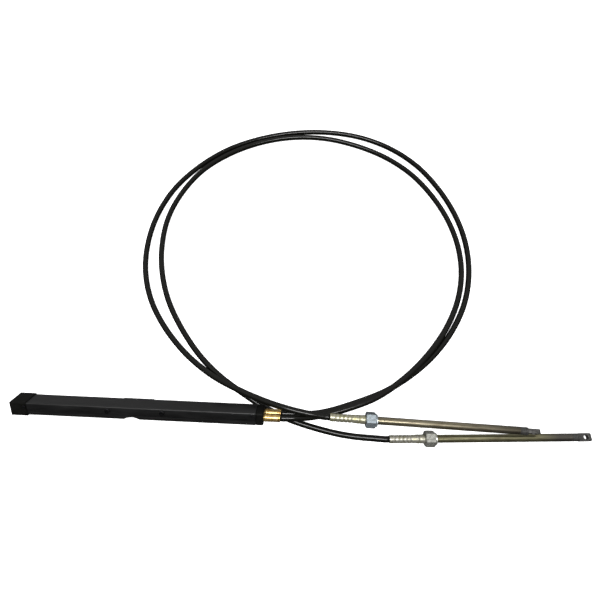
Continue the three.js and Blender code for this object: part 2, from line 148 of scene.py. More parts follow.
def rack_place():
    """The place of the rack: X to the right, Y from its front to its back, Z across its top edge."""
    plate = mounts["rack_back_plate"]
    place = axes_at(plate["pos_m"], joints["rack_bar_1_slide"]["axis"], plate["axis"])
    on_rack = Vector((PLATE_SHIFT, RACK_WIDTH + PLATE_RISE, -PLATE_FACE_DROP))
    return place @ Matrix.Translation(-on_rack * MM)


def output_place(number):
    """The place of an output end: X runs from its hub to its tip."""
    spin = joints[f"nut_{number}_spin"]
    axis = Vector(spin["axis"])
    return axes_at(Vector(spin["pos_m"]) - axis * NUT_START * MM, axis, UP.cross(axis))


RACK = rack_place()
OUTPUT = {1: output_place(1), 2: output_place(2)}
RAM_OUT = {1: RAM_ONE_OUT, 2: 0}
TIP_TURN = {1: math.radians(90), 2: 0.0}
FITTING_ROWS = {1: (RACK_WIDTH + FITTING_PITCH) / 2, 2: (RACK_WIDTH - FITTING_PITCH) / 2}

# Camera, as the photograph looks at the floor
CAMERA_PLACE = Vector((0.0123, -0.1389, 0.9474))
CAMERA_LENS = 26.35
CAMERA_PITCH = math.radians(65.78)
CAMERA_YAW = math.radians(-3.73)
CAMERA_ROLL = math.radians(-0.88)
CAMERA_SENSOR = 36

# Routes of the cables over the floor, in metres, from a brass fitting to a hub
CABLE_ONE_ROUTE = [
    (-0.018, 0.018, 0.0232), (0.024, 0.021, 0.0129), (0.045, 0.026, 0.0083), (0.066, 0.032, 0.0066),
    (0.150, 0.064, 0.0066), (0.184, 0.0805, 0.0066), (0.241, 0.1195, 0.0066), (0.294, 0.1695, 0.0066),
    (0.338, 0.2295, 0.0066), (0.371, 0.299, 0.0066), (0.388, 0.377, 0.0066), (0.388, 0.459, 0.0066),
    (0.370, 0.541, 0.0066), (0.334, 0.622, 0.0066), (0.282, 0.697, 0.0066), (0.209, 0.757, 0.0066),
    (0.123, 0.794, 0.0066), (0.028, 0.807, 0.0066), (-0.067, 0.799, 0.0066), (-0.158, 0.773, 0.0066),
    (-0.241, 0.730, 0.0066), (-0.310, 0.668, 0.0066), (-0.363, 0.594, 0.0066), (-0.394, 0.509, 0.0066),
    (-0.403, 0.428, 0.0066), (-0.395, 0.347, 0.0066), (-0.366, 0.267, 0.0066), (-0.318, 0.196, 0.0066),
    (-0.261, 0.138, 0.0075), (-0.217, 0.105, 0.012), (-0.182, 0.0835, 0.0185), (-0.120, 0.0555, 0.026),
    (-0.075, 0.0385, 0.033), (-0.036, 0.0265, 0.0395), (0.004, 0.0175, 0.0426), (0.030, 0.0145, 0.039),
]
CABLE_TWO_ROUTE = [
    (-0.018, 0.0065, 0.0354), (0.022, 0.012, 0.0244), (0.042, 0.017, 0.0216), (0.066, 0.0235, 0.021),
    (0.144, 0.053, 0.021), (0.182, 0.076, 0.021), (0.235, 0.120, 0.0195), (0.283, 0.1735, 0.0155),
    (0.325, 0.2355, 0.008), (0.355, 0.303, 0.0066), (0.370, 0.376, 0.0066), (0.368, 0.452, 0.0066),
    (0.349, 0.528, 0.0066), (0.314, 0.601, 0.0066), (0.264, 0.669, 0.0066), (0.196, 0.724, 0.0066),
    (0.116, 0.762, 0.0066), (0.028, 0.784, 0.0066), (-0.064, 0.783, 0.0066), (-0.152, 0.7595, 0.0066),
    (-0.232, 0.716, 0.0066), (-0.299, 0.655, 0.0066), (-0.343, 0.578, 0.0066), (-0.366, 0.496, 0.0066),
    (-0.366, 0.409, 0.0066), (-0.352, 0.338, 0.0066), (-0.325, 0.268, 0.0066), (-0.285, 0.203, 0.0066),
    (-0.233, 0.139, 0.0066), (-0.182, 0.094, 0.0066), (-0.122, 0.0555, 0.0066), (-0.079, 0.0315, 0.0066),
    (-0.018, 0.0065, 0.0066), (0.083, -0.0165, 0.007), (0.131, -0.0207, 0.010), (0.157, -0.0216, 0.0136),
]
CABLE_SIDES = 28
CURVE_STEPS = 30
PATH_STEP = 0.004
PATH_SMOOTHING = 24


def make_camera():
    level = Vector((math.sin(CAMERA_YAW), math.cos(CAMERA_YAW), 0))
    forward = level * math.cos(CAMERA_PITCH) - UP * math.sin(CAMERA_PITCH)
    right = forward.cross(UP).normalized()
    up = right.cross(forward)
    rolled_right = right * math.cos(CAMERA_ROLL) + up * math.sin(CAMERA_ROLL)
    rolled_up = up * math.cos(CAMERA_ROLL) - right * math.sin(CAMERA_ROLL)
    data = bpy.data.cameras.new("camera")
    data.lens = CAMERA_LENS
    data.sensor_fit = "HORIZONTAL"
    data.sensor_width = CAMERA_SENSOR
    data.clip_start = 0.01
    camera = bpy.data.objects.new("camera", data)
    bpy.context.scene.collection.objects.link(camera)
    place = Matrix((rolled_right, rolled_up, -forward)).transposed().to_4x4()
    place.translation = CAMERA_PLACE
    camera.matrix_world = place
    bpy.context.scene.camera = camera


# Finishes

def colour(red, green, blue):
    """A colour as a screen shows it, from 0 to 255, turned into the shader's own numbers."""
    def straight(value):
        value = value / 255
        return value / 12.92 if value <= 0.04045 else ((value + 0.055) / 1.055) ** 2.4
    return (straight(red), straight(green), straight(blue), 1)


def new_finish(name, metal, gloss_level=0.5):
    finish = bpy.data.materials.new(name)
    finish.use_nodes = True
    tree = finish.node_tree
    shader = tree.nodes["Principled BSDF"]
    shader.inputs["Metallic"].default_value = metal
    shader.inputs["Specular IOR Level"].default_value = gloss_level
    return finish, tree, shader


def add_node(tree, kind, settings=None, **inputs):
    node = tree.nodes.new(kind)
    for key, value in (settings or {}).items():
        setattr(node, key, value)
    for key, value in inputs.items():
        socket = node.inputs[key.replace("_", " ")]
        if isinstance(value, bpy.types.NodeSocket):
            tree.links.new(value, socket)
        else:
            socket.default_value = value
    return node


def piece_grid(tree, place, cell):
    """Coordinates along a piece's own axes, counted in cells of the given size in millimetres."""
    own = add_node(tree, "ShaderNodeTexCoord").outputs["Object"]
    mapping = add_node(tree, "ShaderNodeMapping", {"vector_type": "TEXTURE"}, Vector=own)
    mapping.inputs["Location"].default_value = place.translation
    mapping.inputs["Rotation"].default_value = place.to_euler()
    mapping.inputs["Scale"].default_value = [size * MM for size in cell]
    return mapping.outputs["Vector"]


def noise(tree, grid, detail=3.0, roughness=0.5):
    node = add_node(
        tree, "ShaderNodeTexNoise", None, Vector=grid, Scale=1.0, Detail=detail, Roughness=roughness
    )
    return node.outputs["Fac"]


def span(tree, value, low, high, start=0.3, end=0.7):
    """The value, spread from low to high between start and end."""
    node = add_node(tree, "ShaderNodeMapRange", None, Value=value)
    node.inputs["From Min"].default_value = start
    node.inputs["From Max"].default_value = end
    node.inputs["To Min"].default_value = low
    node.inputs["To Max"].default_value = high
    return node.outputs["Result"]


def blend_colours(tree, amount, first, second):
    node = tree.nodes.new("ShaderNodeMix")
    node.data_type = "RGBA"
    for socket, value in ((node.inputs[0], amount), (node.inputs[6], first), (node.inputs[7], second)):
        if isinstance(value, bpy.types.NodeSocket):
            tree.links.new(value, socket)
        else:
            socket.default_value = value
    return node.outputs[2]


def set_relief(tree, shader, height, depth, below=None):
    """Bump of the given depth in millimetres."""
    bump = add_node(tree, "ShaderNodeBump", None, Height=height, Strength=1.0, Distance=depth * MM)
    if below is not None:
        tree.links.new(below, bump.inputs["Normal"])
    tree.links.new(bump.outputs["Normal"], shader.inputs["Normal"])
    return bump.outputs["Normal"]


def housing_paint():
    finish, tree, shader = new_finish("black_housing_paint", 0.0, 0.5)
    streaks = noise(tree, piece_grid(tree, RACK, (90, 1.6, 1.6)), 4.0, 0.6)
    patches = noise(tree, piece_grid(tree, RACK, (60, 18, 18)), 2.0)
    peel = noise(tree, piece_grid(tree, RACK, (0.9, 0.9, 0.9)), 2.0)
    scuffs = noise(tree, piece_grid(tree, RACK, (14, 2.5, 2.5)), 6.0, 0.7)
    worn = span(tree, scuffs, 0.0, 1.0, 0.62, 0.75)
    shade = blend_colours(tree, streaks, colour(4, 4, 4), colour(16, 16, 16))
    tree.links.new(blend_colours(tree, worn, shade, colour(26, 26, 26)), shader.inputs["Base Color"])
    mixed = add_node(tree, "ShaderNodeMath", {"operation": "ADD"})
    tree.links.new(span(tree, streaks, 0.26, 0.42), mixed.inputs[0])
    tree.links.new(span(tree, patches, 0.0, 0.2), mixed.inputs[1])
    tree.links.new(mixed.outputs[0], shader.inputs["Roughness"])
    fine = set_relief(tree, shader, peel, 0.012)
    set_relief(tree, shader, streaks, 0.08, fine)
    return finish


def cap_plastic():
    finish, tree, shader = new_finish("black_cap_plastic", 0.0, 0.1)
    grain = noise(tree, piece_grid(tree, RACK, (0.6, 0.6, 0.6)), 3.0)
    clouds = noise(tree, piece_grid(tree, RACK, (9, 9, 9)), 3.0)
    tree.links.new(
        blend_colours(tree, clouds, colour(6, 6, 5), colour(14, 14, 12)), shader.inputs["Base Color"]
    )
    tree.links.new(span(tree, clouds, 0.5, 0.68), shader.inputs["Roughness"])
    set_relief(tree, shader, grain, 0.03)
    return finish


def dark_steel():
    finish, tree, shader = new_finish("dark_screw_steel", 1.0)
    clouds = noise(tree, piece_grid(tree, RACK, (2.5, 2.5, 2.5)), 4.0)
    tree.links.new(
        blend_colours(tree, clouds, colour(34, 34, 36), colour(70, 70, 72)), shader.inputs["Base Color"]
    )
    tree.links.new(span(tree, clouds, 0.28, 0.5), shader.inputs["Roughness"])
    set_relief(tree, shader, clouds, 0.02)
    return finish


def brass():
    finish, tree, shader = new_finish("turned_brass", 0.85)
    turning = noise(tree, piece_grid(tree, RACK, (0.35, 60, 60)), 3.0)
    tarnish = noise(tree, piece_grid(tree, RACK, (7, 7, 7)), 4.0)
    tone = span(tree, tarnish, 0.0, 1.0, 0.42, 0.72)
    tree.links.new(
        blend_colours(tree, tone, colour(202, 174, 114), colour(160, 122, 64)), shader.inputs["Base Color"]
    )
    tree.links.new(span(tree, turning, 0.2, 0.36), shader.inputs["Roughness"])
    set_relief(tree, shader, turning, 0.012)
    return finish


def bar_steel():
    finish, tree, shader = new_finish("machined_steel", 1.0)
    milling = noise(tree, piece_grid(tree, RACK, (0.5, 20, 20)), 3.0)
    tree.links.new(
        blend_colours(tree, milling, colour(120, 120, 116), colour(158, 158, 152)),
        shader.inputs["Base Color"],
    )
    tree.links.new(span(tree, milling, 0.3, 0.45), shader.inputs["Roughness"])
    set_relief(tree, shader, milling, 0.01)
    return finish


def cable_jacket():
    """Extruded black plastic: its faint waves and fine lines follow the cable."""
    finish, tree, shader = new_finish("extruded_black_jacket", 0.0, 0.27)
    along = add_node(tree, "ShaderNodeUVMap", {"uv_map": "along"})

    def jacket_noise(around, length, detail):
        mapping = add_node(tree, "ShaderNodeMapping", None, Vector=along.outputs["UV"])
        mapping.inputs["Scale"].default_value = (around, 1 / (length * MM), 1)
        return noise(tree, mapping.outputs["Vector"], detail)

    waves = jacket_noise(2, 35, 2.0)
    lines = jacket_noise(24, 180, 3.0)
    dust = jacket_noise(8, 9, 5.0)
    dusty = span(tree, dust, 0.0, 0.5, 0.6, 0.8)
    shade = blend_colours(tree, lines, colour(8, 8, 6), colour(14, 14, 11))
    tree.links.new(blend_colours(tree, dusty, shade, colour(28, 28, 26)), shader.inputs["Base Color"])
    tree.links.new(span(tree, dust, 0.12, 0.22), shader.inputs["Roughness"])
    gentle = set_relief(tree, shader, waves, 0.12)
    set_relief(tree, shader, lines, 0.02, gentle)
    return finish


def hub_zinc(number, plain, warm_tone, painted_ring_shade):
    finish, tree, shader = new_finish(f"yellow_zinc_{number}", 0.75)
    bands = noise(tree, piece_grid(tree, OUTPUT[number], (3.2, 30, 30)), 4.0)
    clouds = noise(tree, piece_grid(tree, OUTPUT[number], (6, 5, 5)), 4.0, 0.6)
    warm = span(tree, clouds, 0.0, 1.0, 0.4, 0.65)
    plating = blend_colours(tree, warm, plain, warm_tone)
    # Painted shade: dark rings of a shaded tone, laid in random bands along the hub.
    dark = span(tree, bands, 0.0, 0.55, 0.5, 0.75)
    tree.links.new(blend_colours(tree, dark, plating, painted_ring_shade), shader.inputs["Base Color"])
    tree.links.new(span(tree, clouds, 0.3, 0.46), shader.inputs["Roughness"])
    set_relief(tree, shader, bands, 0.03)
    return finish


def nut_plate(number, light, painted_shade_tone):
    finish, tree, shader = new_finish(f"nut_plating_{number}", 0.75)
    clouds = noise(tree, piece_grid(tree, OUTPUT[number], (4, 4, 4)), 4.0, 0.6)
    wear = noise(tree, piece_grid(tree, OUTPUT[number], (1.2, 1.2, 1.2)), 5.0, 0.6)
    # Painted light and shade: a lit tone and a shaded tone of the plating, mixed in random clouds.
    tree.links.new(blend_colours(tree, span(tree, clouds, 0, 1), light, painted_shade_tone), shader.inputs["Base Color"])
    tree.links.new(span(tree, wear, 0.2, 0.4), shader.inputs["Roughness"])
    set_relief(tree, shader, wear, 0.02)
    return finish


def ram_stainless(number, light, painted_shade_tone, end_shade, end_start, end_full):
    """Drawn tube with lengthwise streaks that mix a painted lit tone and a painted shade tone, darker towards its
    tip.
    """
    finish, tree, shader = new_finish(f"drawn_stainless_{number}", 0.92)
    streaks = noise(tree, piece_grid(tree, OUTPUT[number], (70, 0.9, 0.9)), 4.0, 0.65)
    clouds = noise(tree, piece_grid(tree, OUTPUT[number], (26, 7, 7)), 3.0)
    fine = noise(tree, piece_grid(tree, OUTPUT[number], (18, 0.35, 0.35)), 2.0)
    # Painted light and shade: the lengthwise streaks mix a lit tone and a shaded tone of the tube.
    shade = blend_colours(tree, span(tree, streaks, 0, 1, 0.36, 0.64), painted_shade_tone, light)
    stained = blend_colours(tree, span(tree, clouds, 0, 0.55, 0.5, 0.72), shade, colour(96, 83, 66))
    place = add_node(tree, "ShaderNodeSeparateXYZ", None, Vector=piece_grid(tree, OUTPUT[number], (1, 1, 1)))
    far = span(tree, place.outputs["X"], 0, 1, end_start, end_full)
    tree.links.new(blend_colours(tree, far, stained, end_shade), shader.inputs["Base Color"])
    tree.links.new(span(tree, streaks, 0.22, 0.4), shader.inputs["Roughness"])
    set_relief(tree, shader, fine, 0.012)
    return finish


def tip_steel(number):
    finish, tree, shader = new_finish(f"forged_tip_{number}", 0.7)
    scale = noise(tree, piece_grid(tree, OUTPUT[number], (3, 3, 3)), 5.0, 0.6)
    pits = noise(tree, piece_grid(tree, OUTPUT[number], (0.9, 0.9, 0.9)), 4.0)
    tree.links.new(
        blend_colours(tree, span(tree, scale, 0, 1), colour(58, 57, 56), colour(94, 93, 91)),
        shader.inputs["Base Color"],
    )
    tree.links.new(span(tree, scale, 0.3, 0.52), shader.inputs["Roughness"])
    set_relief(tree, shader, pits, 0.04)
    return finish


# Modelling, in millimetres along a piece's own axes

def start_fresh():
    if bpy.context.object is not None and bpy.context.object.mode != "OBJECT":
        bpy.ops.object.mode_set(mode="OBJECT")
    bpy.ops.object.select_all(action="DESELECT")


def pick(piece, test_face=None, test_edge=None):
    """In edit mode, selects just the faces or edges that pass the test."""
    mesh = bmesh.from_edit_mesh(piece.data)
    bpy.context.tool_settings.mesh_select_mode = (False, test_face is None, test_face is not None)
    for part in (*mesh.verts, *mesh.edges, *mesh.faces):
        part.select = False
    for face in mesh.faces:
        if test_face is not None and test_face(face):
            face.select_set(True)
    for edge in mesh.edges:
        if test_edge is not None and test_edge(edge):
            edge.select_set(True)
    bmesh.update_edit_mesh(piece.data)


def block(name, low, high):
    start_fresh()
    middle = [(a + b) / 2 for a, b in zip(low, high)]
    bpy.ops.mesh.primitive_cube_add(size=1, location=middle)
    piece = bpy.context.object
    piece.name = name
    piece.scale = [b - a for a, b in zip(low, high)]
    bpy.ops.object.transform_apply(location=True, rotation=True, scale=True)
    return piece


def bar(name, size, start, end, direction, at, sides):
    """A round bar from start to end along one axis, at the given place on the other axes."""
    start_fresh()
    middle = list(at)
    middle[direction] = (start + end) / 2
    turn = {0: (0, math.pi / 2, 0), 1: (math.pi / 2, 0, 0), 2: (0, 0, 0)}[direction]
    bpy.ops.mesh.primitive_cylinder_add(
        vertices=sides, radius=size / 2, depth=end - start, location=middle, rotation=turn
    )
    piece = bpy.context.object
    piece.name = name
    bpy.ops.object.transform_apply(location=True, rotation=True, scale=True)
    return piece


def turned(name, profile, hollow, sides=64):
    """Pulls a ring along X through a profile of (x, radius) pairs, then caps it or joins its bore."""
    start_fresh()
    first_x, first_radius = profile[0]
    bpy.ops.mesh.primitive_circle_add(
        vertices=sides, radius=first_radius, location=(first_x, 0, 0), rotation=(0, math.pi / 2, 0)
    )
    piece = bpy.context.object
    piece.name = name
    bpy.ops.object.transform_apply(location=True, rotation=True, scale=True)
    bpy.ops.object.mode_set(mode="EDIT")
    bpy.ops.mesh.select_all(action="SELECT")
    if not hollow:
        bpy.ops.mesh.edge_face_add()
        bpy.ops.mesh.select_all(action="SELECT")
    for (x, radius), (next_x, next_radius) in zip(profile, profile[1:]):
        bpy.ops.mesh.extrude_region_move(TRANSFORM_OT_translate={"value": (next_x - x, 0, 0)})
        share = next_radius / radius
        bpy.ops.transform.resize(value=(1, share, share), center_override=(next_x, 0, 0))
    if hollow:
        pick(piece, test_edge=lambda edge: edge.is_boundary)
        bpy.ops.mesh.bridge_edge_loops()
    bpy.ops.mesh.select_all(action="SELECT")
    bpy.ops.mesh.normals_make_consistent(inside=False)
    bpy.ops.object.mode_set(mode="OBJECT")
    return piece


def combine(piece, tool, operation):
    start_fresh()
    piece.select_set(True)
    bpy.context.view_layer.objects.active = piece
    modifier = piece.modifiers.new("fit", "BOOLEAN")
    modifier.operation = operation
    modifier.solver = "EXACT"
    modifier.object = tool
    bpy.ops.object.modifier_apply(modifier=modifier.name)
    bpy.data.objects.remove(tool)


def soften(piece, width, segments=2, angle=35):
    """Breaks the sharp edges."""
    start_fresh()
    piece.select_set(True)
    bpy.context.view_layer.objects.active = piece
    modifier = piece.modifiers.new("edges", "BEVEL")
    modifier.width = width
    modifier.segments = segments
    modifier.limit_method = "ANGLE"
    modifier.angle_limit = math.radians(angle)
    modifier.use_clamp_overlap = True
    modifier.harden_normals = False
    bpy.ops.object.modifier_apply(modifier=modifier.name)


def finish_piece(piece, place, finish, body, node, smooth_angle=32):
    """Puts a piece in its place, smooths it, gives it its finish, attaches it to its body and hides the CAD part
    it replaces.
    """
    start_fresh()
    piece.data.transform(place @ Matrix.Scale(MM, 4))
    piece.select_set(True)
    bpy.context.view_layer.objects.active = piece
    bpy.ops.object.shade_smooth_by_angle(angle=math.radians(smooth_angle))
    piece.data.materials.clear()
    piece.data.materials.append(finish)
    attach(piece, body)
    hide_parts(node)


ROOT = "rack_and_cables"


def runs_along(edge):
    """Whether an edge of a block runs along X."""
    return abs((edge.verts[0].co - edge.verts[1].co).x) > 1


def make_housing(finish):
    left = -RACK_LENGTH / 2 + CAP_END + SEAT_GAP
    right = RACK_LENGTH / 2 - PLUG_LENGTH
    shell = block("rack_housing_painted", (left, 0, -RACK_HEIGHT), (right, RACK_WIDTH, 0))
    bpy.ops.object.mode_set(mode="EDIT")
    pick(shell, test_edge=runs_along)
    bpy.ops.mesh.bevel(offset=RACK_EDGE, segments=6, affect="EDGES")
    bpy.ops.object.mode_set(mode="OBJECT")
    plate = block(
        "plate",
        (PLATE_SHIFT - PLATE_LENGTH / 2, RACK_WIDTH - RACK_WALL / 2, -RACK_HEIGHT + RACK_EDGE),
        (PLATE_SHIFT + PLATE_LENGTH / 2, RACK_WIDTH + PLATE_RISE, -RACK_EDGE / 2),
    )
    combine(shell, plate, "UNION")
    bore = block(
        "bore",
        (left - 1, RACK_WALL, -RACK_HEIGHT + RACK_WALL),
        (right + 1, RACK_WIDTH - RACK_WALL, -RACK_WALL),
    )
    combine(shell, bore, "DIFFERENCE")
    seat_middle = (SEAT_SHIFT, 0, -RACK_HEIGHT - SEAT_RADIUS + SEAT_DEPTH)
    seat = bar("seat", 2 * SEAT_RADIUS, -1, RACK_WIDTH + PLATE_RISE + 1, 1, seat_middle, 96)
    combine(shell, seat, "DIFFERENCE")
    line = block(
        "line", (left - 1, -1, -LINE_DROP - LINE_WIDTH), (right + 1, LINE_DEPTH, -LINE_DROP)
    )
    combine(shell, line, "DIFFERENCE")
    soften(shell, 0.35)
    finish_piece(shell, RACK, finish, ROOT, "rack_housing")


def make_left_cap(finish):
    """A sleeve closed at its left end, with a dimple for its screw."""
    start = -RACK_LENGTH / 2

    def is_outside(edge):
        return all(not -CAP_WALL / 2 < vert.co.y < RACK_WIDTH + CAP_WALL / 2 for vert in edge.verts)

    cap = block(
        "left_cap_moulded",
        (start, -CAP_WALL, -RACK_HEIGHT - CAP_WALL),
        (start + CAP_SLEEVE, RACK_WIDTH + CAP_WALL, CAP_WALL),
    )
    bpy.ops.object.mode_set(mode="EDIT")
    pick(cap, test_face=lambda face: face.normal.x > 0.9)
    bpy.ops.mesh.inset(thickness=CAP_WALL - SEAT_GAP)
    bpy.ops.mesh.extrude_region_move(TRANSFORM_OT_translate={"value": (CAP_END - CAP_SLEEVE, 0, 0)})
    pick(cap, test_edge=lambda edge: runs_along(edge) and is_outside(edge))
    bpy.ops.mesh.bevel(offset=RACK_EDGE, segments=5, affect="EDGES")
    bpy.ops.object.mode_set(mode="OBJECT")
    dimple = bar(
        "dimple", 9, -CAP_WALL - 1, -CAP_WALL + 0.5, 1,
        (CAP_SCREW_INSET - RACK_LENGTH / 2, 0, -CAP_SCREW_DROP), 40,
    )
    combine(cap, dimple, "DIFFERENCE")
    soften(cap, 0.5, 3)
    finish_piece(cap, RACK, finish, ROOT, "end_cap_left")


def make_right_cap(finish):
    """A rounded plug with a spigot in the housing, bored for the fittings."""
    end = RACK_LENGTH / 2
    start = end - PLUG_LENGTH
    cap = block(
        "right_cap_moulded",
        (start + SEAT_GAP, -PLUG_PROUD, -RACK_HEIGHT - PLUG_PROUD),
        (end, RACK_WIDTH + PLUG_PROUD, PLUG_PROUD),
    )
    bpy.ops.object.mode_set(mode="EDIT")
    pick(cap, test_edge=runs_along)
    bpy.ops.mesh.bevel(offset=PLUG_CORNER, segments=6, affect="EDGES")
    bpy.ops.object.mode_set(mode="OBJECT")
    soften(cap, PLUG_ROUNDING, 4)
    spigot = block(
        "spigot",
        (start - PLUG_SPIGOT, RACK_WALL + SEAT_GAP, -RACK_HEIGHT + RACK_WALL + SEAT_GAP),
        (start + 3, RACK_WIDTH - RACK_WALL - SEAT_GAP, -RACK_WALL - SEAT_GAP),
    )
    combine(cap, spigot, "UNION")
    for row in FITTING_ROWS.values():
        hole = bar(
            "hole", FITTING_STUB + 2 * SEAT_GAP, start - PLUG_SPIGOT - 2, end + 2, 0,
            (0, row, -RACK_HEIGHT / 2), 48,
        )
        combine(cap, hole, "DIFFERENCE")
    finish_piece(cap, RACK, finish, ROOT, "end_cap_right")


def on_front(x, y, drop):
    """A place on the rack's front face, with X pointing out of it."""
    return RACK @ Matrix.Translation(Vector((x, y, -drop)) * MM) @ Matrix.Rotation(-math.pi / 2, 4, "Z")


def make_screw(name, head, rise, shank, reach, socket, place, finish, node):
    """A screw with a rounded head and a hexagonal socket."""
    edge = rise * 0.4
    screw = turned(
        name,
        [(-reach, shank / 2), (0, shank / 2), (0, head / 2), (rise - edge, head / 2),
         (rise - edge * 0.3, head / 2 - edge * 0.4), (rise, head / 2 - edge * 1.2), (rise, socket)],
        False,
        48,
    )
    recess = bar("recess", socket, rise * 0.45, rise + 1, 0, (0, 0, 0), 6)
    combine(screw, recess, "DIFFERENCE")
    finish_piece(screw, place, finish, ROOT, node)


def make_screws_and_pins(finish):
    for number, place in enumerate(HELM_SCREW_PLACES, 1):
        make_screw(
            f"helm_screw_{number}_socket_head", 12, 2.6, 6, RACK_WALL - SEAT_GAP, 5,
            on_front(place, -SEAT_GAP, HELM_SCREW_DROP), finish, f"helm_screw_{number}",
        )
    on_cap = on_front(CAP_SCREW_INSET - RACK_LENGTH / 2, -CAP_WALL - SEAT_GAP, CAP_SCREW_DROP)
    make_screw(
        "cap_screw_socket_head", 7, 1.6, 4, CAP_WALL + RACK_WALL - SEAT_GAP, 2.4, on_cap, finish, "cap_screw"
    )
    radius = PIN_SIZE / 2
    for number, place in enumerate(PIN_PLACES, 1):
        pin = turned(
            f"housing_pin_{number}_domed",
            [(-RACK_WALL, radius), (0.4, radius), (0.66, radius * 0.86), (0.78, radius * 0.6),
             (0.8, radius * 0.25)],
            False,
            32,
        )
        at = on_front(place, 0, PIN_DROP)
        finish_piece(pin, at, finish, ROOT, f"housing_pin_{number}")


def fitting_place(number):
    """Where a fitting leaves the rack, with X out of its end."""
    return RACK @ Matrix.Translation(Vector((RACK_LENGTH / 2, FITTING_ROWS[number], -RACK_HEIGHT / 2)) * MM)


def make_fittings(finish):
    """Round brass fittings with a relieved start, a shallow groove near the cable and a stub in the cap."""
    radius = FITTING_SIZE / 2
    core = CORE_HOLE / 2
    relief, groove, break_edge = 0.7, 0.3, 0.7
    start, end = -PLUG_LENGTH - PLUG_SPIGOT, FITTING_LENGTH
    for number in FITTING_ROWS:
        fitting = turned(
            f"cable_fitting_{number}_turned",
            [(start, core), (start, FITTING_STUB / 2), (SEAT_GAP, FITTING_STUB / 2),
             (SEAT_GAP, radius - relief), (2.4, radius - relief), (3.1, radius), (end - 3.4, radius),
             (end - 3.1, radius - groove), (end - 2.5, radius - groove), (end - 2.2, radius),
             (end - break_edge, radius), (end, radius - break_edge), (end, core)],
            True,
        )
        soften(fitting, 0.2)
        finish_piece(fitting, fitting_place(number), finish, ROOT, f"cable_fitting_{number}")


def make_hub(number, finish):
    """A crimped sleeve with ring grooves, a grooved shoulder, and a neck and flange inside the nut."""
    core = CORE_HOLE / 2
    back = HUB_SLEEVE_SIZE / 2
    shoulder = HUB_SHOULDER_SIZE / 2
    shoulder_end = HUB_SLEEVE + HUB_SHOULDER
    relief, break_edge = 0.4, 0.6
    profile = [(0, core), (0, back - break_edge), (0.7, back)]
    for ring in range(HUB_RINGS):
        x = HUB_RING_INSET + ring * HUB_RING_PITCH
        half = HUB_RING_WIDTH / 2
        for step in range(HUB_RING_STEPS + 1):
            share = step / HUB_RING_STEPS
            depth = HUB_RING_DEPTH * math.sin(math.pi * share)
            profile.append((x - half + 2 * half * share, back - depth))
    socket = GUIDE_SIZE / 2 + SEAT_GAP
    socket_end = FLANGE_END - GUIDE_SOCKET
    profile += [
        (HUB_SLEEVE, back), (HUB_SLEEVE + 0.6, shoulder), (HUB_SLEEVE + 6, shoulder),
        (HUB_SLEEVE + 6.4, shoulder - relief), (HUB_SLEEVE + 8, shoulder - relief),
        (HUB_SLEEVE + 8.4, shoulder), (shoulder_end - break_edge, shoulder),
        (shoulder_end, shoulder - break_edge), (shoulder_end, HUB_NECK / 2), (NECK_END, HUB_NECK / 2),
        (NECK_END, HUB_FLANGE / 2), (FLANGE_END, HUB_FLANGE / 2), (FLANGE_END, socket),
        (socket_end, socket), (socket_end, core),
    ]
    hub = turned(f"hub_{number}_crimped", profile, True)
    soften(hub, 0.2)
    finish_piece(hub, OUTPUT[number], finish, ROOT, f"hub_{number}")


def make_nut(number, finish):
    """A hexagon with chamfered corners, a turned collar, and a lip and thread in its bore."""
    corner = NUT_FLATS / math.sqrt(3)
    length = NUT_HEX + NUT_COLLAR
    nut = bar(f"coupling_nut_{number}_chamfered", 2 * corner, 0, NUT_HEX, 0, (0, 0, 0), 6)
    nut.data.transform(Matrix.Rotation(math.pi / 6, 4, "X") @ nut_start_turn(nut))
    cone_face, cone_low = 13.8, 12
    cone = turned(
        "cone",
        [(-1, cone_low), (0, cone_face), (NUT_CORNER_CUT, corner + 1),
         (NUT_HEX - NUT_CORNER_CUT, corner + 1), (NUT_HEX, cone_face), (NUT_HEX + 1, cone_low)],
        False,
        96,
    )
    combine(nut, cone, "INTERSECT")
    rim = NUT_COLLAR_SIZE / 2
    collar = turned(
        "collar",
        [(NUT_HEX / 2, rim), (NUT_HEX + 0.4, rim - 0.5), (NUT_HEX + 1.2, rim), (length - 0.6, rim),
         (length, rim - 0.6)],
        False,
        96,
    )
    combine(nut, collar, "UNION")
    lip_bore = HUB_NECK / 2 + SEAT_GAP
    minor = NUT_BORE / 2
    bore_profile = [(-1, lip_bore), (NUT_LIP, lip_bore), (NUT_LIP, minor)]
    for turn in range(int((length - NUT_LIP) / THREAD_PITCH)):
        x = NUT_LIP + turn * THREAD_PITCH
        bore_profile += [(x + THREAD_PITCH * 0.45, minor + THREAD_DEPTH), (x + THREAD_PITCH * 0.95, minor)]
    bore_profile.append((length + 1, minor + 0.4))
    combine(nut, turned("thread", bore_profile, False, 64), "DIFFERENCE")
    soften(nut, 0.25)
    at = OUTPUT[number] @ Matrix.Translation((NUT_START * MM, 0, 0))
    finish_piece(nut, at, finish, f"nut_{number}", f"coupling_nut_{number}")


def nut_start_turn(nut):
    """The turn about X that puts a corner of the hexagon straight up before it is turned to a flat."""
    high = max(nut.data.vertices, key=lambda vert: (round(vert.co.z, 4), vert.co.y)).co
    return Matrix.Rotation(math.atan2(high.y, high.z), 4, "X")


def make_guide(number, finish):
    radius = GUIDE_SIZE / 2
    guide = turned(
        f"guide_tube_{number}_drawn",
        [(0, radius - GUIDE_WALL), (0, radius), (GUIDE_LENGTH - 0.4, radius), (GUIDE_LENGTH, radius - 0.4),
         (GUIDE_LENGTH, radius - GUIDE_WALL)],
        True,
        48,
    )
    at = OUTPUT[number] @ Matrix.Translation((GUIDE_START * MM, 0, 0))
    finish_piece(guide, at, finish, ROOT, f"guide_tube_{number}")


